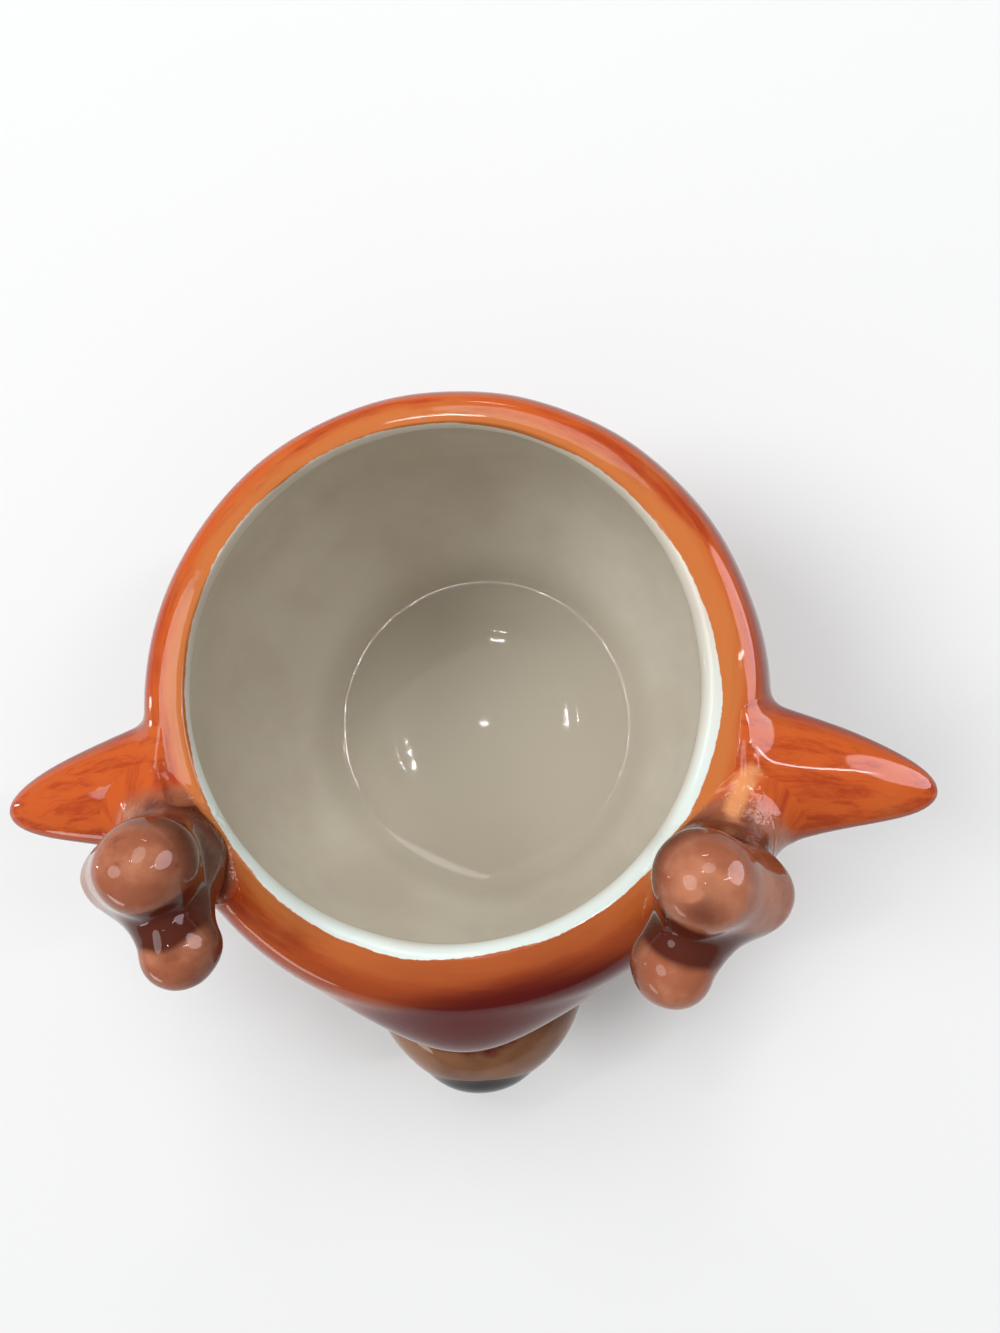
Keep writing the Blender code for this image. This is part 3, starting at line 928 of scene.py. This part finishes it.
class Recipe:
    # a material's or the room's node tree, filled from empty
    def __init__(self, tree):
        self.tree = tree
        self.tree.nodes.clear()

    def add(self, kind, settings=None, sockets=(), output=0):
        # any node: its type, its settings, and then the values or wires of its sockets
        node = self.tree.nodes.new(kind)
        for key, value in (settings or {}).items():
            setattr(node, key, value)
        for key, value in sockets.items() if isinstance(sockets, dict) else enumerate(sockets):
            if isinstance(value, Wire):
                self.tree.links.new(value.output, node.inputs[key])
            else:
                node.inputs[key].default_value = value
        return Wire(self, node.outputs[output]) if node.outputs else None

    def place(self):
        # metres from the object's origin
        return self.add("ShaderNodeTexCoord", output="Object")

    def read(self, name, output="Fac"):
        # an attribute of the mesh's points
        return self.add("ShaderNodeAttribute", {"attribute_name": name}, output=output)

    def noise(self, where, scale, detail=3.0, roughness=0.55, distortion=0.0):
        # about 0.5 on average, between 0 and 1
        sockets = {"Vector": where, "Scale": scale, "Detail": detail}
        sockets.update({"Roughness": roughness, "Distortion": distortion})
        return self.add("ShaderNodeTexNoise", {}, sockets)

    def blend(self, amount, under, over):
        # under x (1 - amount) + over x amount; sockets 6 and 7 are the two colours, output 2 their mix
        sockets = {0: amount, 6: paint(under), 7: paint(over)}
        return self.add("ShaderNodeMix", {"data_type": "RGBA"}, sockets, output=2)

    def fire(self, colour, roughness, bump):
        # the finished glaze: its colour, shine and ripples under clear gloss
        sockets = {"Base Color": paint(colour), "Roughness": roughness, "Normal": bump}
        sockets.update({"IOR": gloss["ior"], "Specular IOR Level": gloss["level"]})
        shader = self.add("ShaderNodeBsdfPrincipled", {}, sockets)
        self.add("ShaderNodeOutputMaterial", {}, {"Surface": shader})


def newMaterial(name):
    # an empty material, and the recipe that fills it
    material = bpy.data.materials.new(name)
    material.use_nodes = True
    return material, Recipe(material.node_tree)


def paint(colour):
    # a colour given as 0-255 screen values becomes linear; a wire passes through
    if isinstance(colour, Wire):
        return colour
    linear = [(c / 255 / 12.92) if c < 10 else ((c / 255 + 0.055) / 1.055) ** 2.4 for c in colour]
    return (*linear, 1.0)


glazeColours = {
    "orange": (204, 92, 38),
    "redStroke": (162, 50, 24),
    # partly painted shade: a browner orange for the front under the lip
    "frontOrange": (158, 70, 32),
    "worn": (236, 160, 106),
    "thinOrange": (206, 122, 64),
    # painted shade: a darker red for the orange where the surface turns away from above
    "shadedRed": (112, 31, 18),
    # partly painted shade: maroon over the brow
    "maroon": (90, 16, 10),
    "brown": (162, 94, 67),
    "brownLight": (192, 125, 94),
    # used for random mottle and specks, and as painted shade on the antlers' undersides and creases
    "brownDarkAndShade": (86, 36, 24),
    "tan": (148, 102, 70),
    "tanDark": (102, 60, 38),
    "black": (19, 16, 20),
    "blackSheen": (34, 30, 38),
    # painted light: a lighter liner for the lip's top, where light catches it
    "litStrip": (228, 238, 232),
    "liner": (224, 217, 203),
    "linerDark": (216, 208, 193),
    # painted shade: a darker liner for the hollow's floor
    "linerFloorShade": (204, 196, 180),
}
grain = {  # scale per metre, detail, roughness and distortion of each noise
    "strokes": (1.0, 5.0, 0.66, 0.3),  # scale per unit of the brush attribute
    "clouds": (38.0, 3.0),
    "speckle": (900.0, 2.0),
    "faceEdge": (160.0, 3.0),
    "antlerEdge": (260.0, 4.0),
    "antlerLight": (120.0, 4.0),
    "antlerMottle": (210.0, 5.0, 0.7),
    "rimEdge": (420.0, 4.0),
    "rimDrift": (28.0, 2.0),
    "wornEdge": (300.0, 4.0, 0.6),
    "ripples": (95.0, 2.0),
    "fineRipples": (330.0, 2.0),
    "wrinkles": (300.0, 3.0, 0.5, 0.8),
    "shine": (60.0, 3.0),
    "noseSheen": (90.0, 3.0),
    "noseRipples": (110.0, 2.0),
    "noseShine": (70.0, 3.0),
    "floor": (3.0, 2.0),
}
gloss = {
    "ior": 1.5,
    "level": 0.2,
    "rough": (0.035, 0.05),  # least, and how much more the noise adds
    "noseRough": (0.05, 0.05),
    "noseSheen": (0.4, 0.75),
    "rippleStrength": 0.5,
    "rippleDepth": 0.00016,
    "noseRippleDepth": 0.00012,
    "fineShare": 0.12,
    "wrinkleDepth": 13.0,
    "wrinkleOffHead": (2.0, 9.0),
    "wrinkleOffAntler": (0.5, 3.5),
}
orangeLook = {  # pairs are where a change starts and ends
    "strokes": (0.42, 0.66),
    "strokeShare": 0.75,
    "clouds": (0.56, 0.78),
    "cloudShare": 0.45,
    # painted shade: where and how far the orange turns redder as the surface faces away from above
    "paintedShade": (0.4, 0.86),
    "paintedShadeStrokes": 0.3,
    "paintedShadeShare": 0.9,
    # the brow and maroon slants towards +X are painted shade, away from the light on the left
    "browSlant": 160.0,
    "browStart": (36.0, 66.0),
    "browStrokes": 0.5,
    "brow": (0.1, 1.0),
    "browShare": 0.9,
    "maroonSlant": 220.0,
    "maroonStart": (60.0, 75.0),
    "maroonHeight": (0.03, 0.07),
    "maroonStrokes": 0.35,
    "maroon": (0.05, 0.9),
    "speckle": (0.74, 0.8),
    "speckleShare": 0.12,
}
faceLook = {  # bleed is how far the noise shifts an edge, in millimetres
    "clouds": (0.3, 0.7),
    "bleed": 4.0,
    "edge": (-0.8, 1.2),
}
antlerLook = {
    "bleed": 3.0,
    "edge": (0.6, 3.4),
    "light": (0.35, 0.7),
    # painted shade: darker brown where the antler faces away from above, and in its creases
    "paintedShade": (-0.1, 0.92),
    "paintedShadeShare": 0.9,
    "crease": (0.02, 0.15),
    "mottle": (0.58, 0.8),
    "mottleShare": 0.5,
}
rimLook = {
    "drift": 9.0,
    "driftStrokes": 5.0,
    "thin": (2.0, 6.5),
    "thinShare": 0.85,
    "thinLessInFront": 0.65,
    "wornBleed": 4.0,
    "wornCore": 0.6,
    "wornShare": 0.85,
    "bleed": 0.8,
    "edge": (-0.1, 0.14),
}
linerLook = {
    "clouds": (0.35, 0.7),
    # painted shade on the hollow's floor: the heights where it starts and ends, and how much
    "floorShade": (0.009, 0.02),
    "floorShadeShare": 0.9,
    # painted light: the lighter strip on the lip's top
    "litStrip": (1.5, 5.0),
    "litStripShare": (0.1, 0.8),
}


def spread(noise, size):
    # a noise about its middle: (noise - 0.5) x size
    return (noise - 0.5) * size


def towardsFront(x, y, slant, start):
    # millimetres in front of the mouth's middle, and more of them towards +X by the slant, eased
    return (y * (-1 / mm) + mouthY + x * slant).eased(*start)


def orangePaint(m, strokes, clouds, x, y, z):
    # orange with redder strokes and thin clouds; redder where it turns away from above, as painted shade;
    # browner and then maroon over the front and brow, partly dark paint and partly painted shade
    c, look = glazeColours, orangeLook
    orange = m.blend(strokes.eased(*look["strokes"]) * look["strokeShare"], c["orange"], c["redStroke"])
    orange = m.blend(clouds.eased(*look["clouds"]) * look["cloudShare"], orange, c["thinOrange"])
    # painted shade: redder where the surface faces away from above
    paintedShade = m.read("upward") + spread(strokes, look["paintedShadeStrokes"])
    orange = m.blend((1 - paintedShade.eased(*look["paintedShade"])) * look["paintedShadeShare"], orange, c["shadedRed"])
    # partly painted shade: browner and then maroon towards the front and the brow, more towards +X
    brow = towardsFront(x, y, look["browSlant"], look["browStart"]) + spread(strokes, look["browStrokes"])
    orange = m.blend(brow.eased(*look["brow"]) * look["browShare"], orange, c["frontOrange"])
    front = towardsFront(x, y, look["maroonSlant"], look["maroonStart"]) * z.eased(*look["maroonHeight"])
    maroon = front + spread(strokes, look["maroonStrokes"])
    return m.blend(maroon.eased(*look["maroon"]), orange, c["maroon"])


def tanPaint(m, where, clouds, under):
    # tan over the lower face, with an uneven edge
    c, look = glazeColours, faceLook
    face = m.read("facePaint") + spread(m.noise(where, *grain["faceEdge"]), look["bleed"])
    tan = m.blend(clouds.eased(*look["clouds"]), c["tan"], c["tanDark"])
    return m.blend(1 - face.eased(*look["edge"]), under, tan)


def brownPaint(m, where, under):
    # mottled brown; darker where it turns away from above, as painted shade, and darker in the creases, as
    # painted shade and pooled glaze
    c, look = glazeColours, antlerLook
    root = m.read("antlerPaint") + spread(m.noise(where, *grain["antlerEdge"]), look["bleed"])
    light = m.noise(where, *grain["antlerLight"]).eased(*look["light"])
    brown = m.blend(light, c["brown"], c["brownLight"])
    # painted shade: darker where the antler faces away from above
    paintedShade = (1 - m.read("upward").eased(*look["paintedShade"])) * look["paintedShadeShare"]
    brown = m.blend(paintedShade, brown, c["brownDarkAndShade"])
    # darker in the creases: painted shade and pooled glaze
    brown = m.blend(m.read("crease").eased(*look["crease"]), brown, c["brownDarkAndShade"])
    mottle = m.noise(where, *grain["antlerMottle"]).eased(*look["mottle"]) * look["mottleShare"]
    brown = m.blend(mottle, brown, c["brownDarkAndShade"])
    return m.blend(1 - root.eased(*look["edge"]), under, brown)


def thinnedRim(m, where, strokes, x, y, under):
    # the orange is brushed thin beside the liner, less so in front, and is worn away in one stroke
    c, look = glazeColours, rimLook
    drift = m.read("rimPaint") + spread(m.noise(where, *grain["rimDrift"]), look["drift"])
    drift = drift + spread(strokes, look["driftStrokes"])
    nearFront = towardsFront(x, y, orangeLook["browSlant"], orangeLook["browStart"])
    thin = (1 - drift.eased(*look["thin"])) * (look["thinShare"] - nearFront * look["thinLessInFront"])
    colour = m.blend(thin, under, c["thinOrange"])
    worn = m.read("worn") + spread(m.noise(where, *grain["wornEdge"]), look["wornBleed"])
    worn = 1 - worn.eased(look["wornCore"], wornStroke["halfWidth"] * 2)
    return m.blend(worn * look["wornShare"], colour, c["worn"])


def linerPaint(m, where, clouds, z, under):
    # pale inside the paint's edge; darker on the hollow's floor, as painted shade; and a lighter strip on
    # the lip's top in front, as painted light
    c, look = glazeColours, linerLook
    liner = m.blend(clouds.eased(*look["clouds"]), c["liner"], c["linerDark"])
    # painted shade: darker on the hollow's floor
    liner = m.blend((1 - z.eased(*look["floorShade"])) * look["floorShadeShare"], liner, c["linerFloorShade"])
    # painted light: a lighter strip on the lip's top, strongest in front
    litStrip = 1 - (m.read("rimPaint") * -1).eased(*look["litStrip"])
    liner = m.blend(litStrip * m.read("litStripShare").eased(*look["litStripShare"]), liner, c["litStrip"])
    rim = m.read("rimPaint") + spread(m.noise(where, *grain["rimEdge"]), rimLook["bleed"])
    return m.blend(1 - rim.eased(*rimLook["edge"]), under, liner)


def glazeBump(m, where):
    # the glaze's slow ripples, and deep wrinkles where it ran together between an antler and the head
    ripples = m.noise(where, *grain["ripples"]) + m.noise(where, *grain["fineRipples"]) * gloss["fineShare"]
    nearHead = 1 - m.read("standOff").eased(*gloss["wrinkleOffHead"])
    nearAntler = 1 - m.read("antlerPaint").eased(*gloss["wrinkleOffAntler"])
    wrinkles = m.noise(where, *grain["wrinkles"]) * nearHead * nearAntler
    height = ripples + wrinkles * gloss["wrinkleDepth"]
    sockets = {"Strength": gloss["rippleStrength"], "Distance": gloss["rippleDepth"], "Height": height}
    return m.add("ShaderNodeBump", {}, sockets)


def glazedPaint(name):
    # orange with brushed strokes, tan on the face, brown on the antlers, pale liner inside the paint's edge
    material, m = newMaterial(name)
    where = m.place()
    x, y, z = (m.add("ShaderNodeSeparateXYZ", {}, (where,), output=letter) for letter in "XYZ")
    strokes = m.noise(m.read("brush", "Vector"), *grain["strokes"])
    clouds = m.noise(where, *grain["clouds"])
    colour = orangePaint(m, strokes, clouds, x, y, z)
    colour = tanPaint(m, where, clouds, colour)
    colour = brownPaint(m, where, colour)
    colour = thinnedRim(m, where, strokes, x, y, colour)
    colour = linerPaint(m, where, clouds, z, colour)
    speckle = m.noise(where, *grain["speckle"]).eased(*orangeLook["speckle"])
    colour = m.blend(speckle * orangeLook["speckleShare"], colour, glazeColours["brownDarkAndShade"])
    least, more = gloss["rough"]
    m.fire(colour, least + m.noise(where, *grain["shine"]) * more, glazeBump(m, where))
    return material


def blackGlaze(name):
    # black with a faint sheen, and slow ripples
    material, m = newMaterial(name)
    where = m.place()
    sheen = m.noise(where, *grain["noseSheen"]).eased(*gloss["noseSheen"])
    colour = m.blend(sheen, glazeColours["black"], glazeColours["blackSheen"])
    ripples = m.noise(where, *grain["noseRipples"])
    sockets = {"Strength": gloss["rippleStrength"], "Distance": gloss["noseRippleDepth"], "Height": ripples}
    least, more = gloss["noseRough"]
    rough = least + m.noise(where, *grain["noseShine"]) * more
    m.fire(colour, rough, m.add("ShaderNodeBump", {}, sockets))
    return material


print("glazes", flush=True)
paintedGlaze = glazedPaint("orangeGlaze")
noseGlaze = blackGlaze("blackGlaze")

dressing = [
    (headShell, "head_bowl", "orange_glaze", paintedGlaze),
    (earPieces["left"], "ear_left", "orange_glaze", paintedGlaze),
    (earPieces["right"], "ear_right", "orange_glaze", paintedGlaze),
    (antlerPieces["left"], "antler_left", "brown_glaze", paintedGlaze),
    (antlerPieces["right"], "antler_right", "brown_glaze", paintedGlaze),
    (muzzlePiece, "muzzle", "tan_glaze", paintedGlaze),
    (nosePiece, "nose", "black_glaze", noseGlaze),
    (eyePieces["left"], "eye_left", "black_glaze", noseGlaze),
    (eyePieces["right"], "eye_right", "black_glaze", noseGlaze),
]
for piece, node, slotName, material in dressing:
    piece.data.materials.append(material)
    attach(piece, "root")
    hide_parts(node)


# Floor, light and camera

studio = {
    "horizonLevel": 0.25,
    "zenithLevel": 0.46,
    "floorSize": 12.0,
    "floorDrop": 0.0002,
    "floorTints": ((238, 239, 239), (241, 242, 242)),
    "aim": (0, 0, 0.06),
}
lamps = {
    "softKey": {"place": (-2.5, 0.1, 3.3), "size": (2.0, 2.0), "power": 66.0},
    "windowBehind": {"place": (0.25, 1.8, 2.65), "size": (1.5, 1.5), "power": 32.0},
    "tubeAbove": {"place": (-0.173, 0.02, 1.6), "size": (0.014, 0.075), "power": 0.55},
    "tubeBehind": {"place": (-0.25, 0.75, 1.6), "size": (0.2, 0.05), "power": 1.2},
    "tubeFarBehind": {"place": (0.05, 1.7, 0.95), "size": (0.35, 0.04), "power": 1.6},
    "tubeRight": {"place": (1.3, 0.25, 1.5), "size": (0.05, 0.6), "power": 3.6},
    "slitLeft": {"place": (-2.2, 0.1, 0.16), "size": (0.08, 0.5), "power": 2.0},
    "windowRight": {
        "place": (2.13, 0.53, 0.97),
        "size": (1.5, 1.9),
        "power": 72.0,
        "colour": (1, 0.84, 0.94),
        "onlyGloss": True,
    },
    "wallFrontLeft": {"place": (-1.4, -1.6, 0.2), "size": (0.9, 0.35), "power": 4.0},
}
view = {
    "place": (0.02771, (mouthY - 11.45) * mm, 0.27322),
    "turn": (4.66, 4.88, -1.68),
    "lens": 21.6,
    "sensorWidth": 36.0,
    "nearest": 0.01,
}


def makeFloor():
    # a level plane just under the foot ring, in two close tints
    place = (0, 0, -studio["floorDrop"])
    bpy.ops.mesh.primitive_plane_add(size=studio["floorSize"], location=place)
    plane = bpy.context.object
    plane.name = "studioFloor"
    material, m = newMaterial("paleFloor")
    tint = m.blend(m.noise(m.place(), *grain["floor"]), *studio["floorTints"])
    m.add("ShaderNodeOutputMaterial", {}, {"Surface": m.add("ShaderNodeBsdfDiffuse", {}, (tint,))})
    plane.data.materials.append(material)


def areaLamp(name, place, size, power, colour=(1, 1, 1), onlyGloss=False):
    # a round or oval lamp that looks at the bowl; onlyGloss leaves it out of the plain light
    data = bpy.data.lights.new(name, "AREA")
    data.shape = "ELLIPSE"
    data.size, data.size_y = size
    data.energy = power
    data.color = colour
    lamp = bpy.data.objects.new(name, data)
    bpy.context.scene.collection.objects.link(lamp)
    lamp.visible_diffuse = not onlyGloss
    lamp.location = place
    way = Vector(studio["aim"]) - Vector(place)
    lamp.rotation_euler = way.to_track_quat("-Z", "Y").to_euler()


def makeRoom():
    # the light from all round: white, from the horizon's level up to the zenith's
    world = bpy.data.worlds.new("paleRoom")
    bpy.context.scene.world = world
    world.use_nodes = True
    m = Recipe(world.node_tree)
    way = m.add("ShaderNodeTexCoord", output="Generated")
    height = m.add("ShaderNodeSeparateXYZ", {}, (way,), output="Z")
    levels = {"Value": height, "To Min": studio["horizonLevel"], "To Max": studio["zenithLevel"]}
    light = {"Color": paint((255, 255, 255)), "Strength": m.add("ShaderNodeMapRange", {}, levels)}
    m.add("ShaderNodeOutputWorld", {}, {"Surface": m.add("ShaderNodeBackground", {}, light)})


print("studio", flush=True)
makeFloor()
for name, look in lamps.items():
    areaLamp(name, **look)
makeRoom()

camera = bpy.data.objects.new("camera", bpy.data.cameras.new("camera"))
bpy.context.scene.collection.objects.link(camera)
camera.data.sensor_width = view["sensorWidth"]
camera.data.lens = view["lens"]
camera.data.clip_start = view["nearest"]
camera.location = view["place"]
camera.rotation_euler = [math.radians(turn) for turn in view["turn"]]
bpy.context.scene.camera = camera
bpy.context.scene.view_settings.view_transform = "Standard"
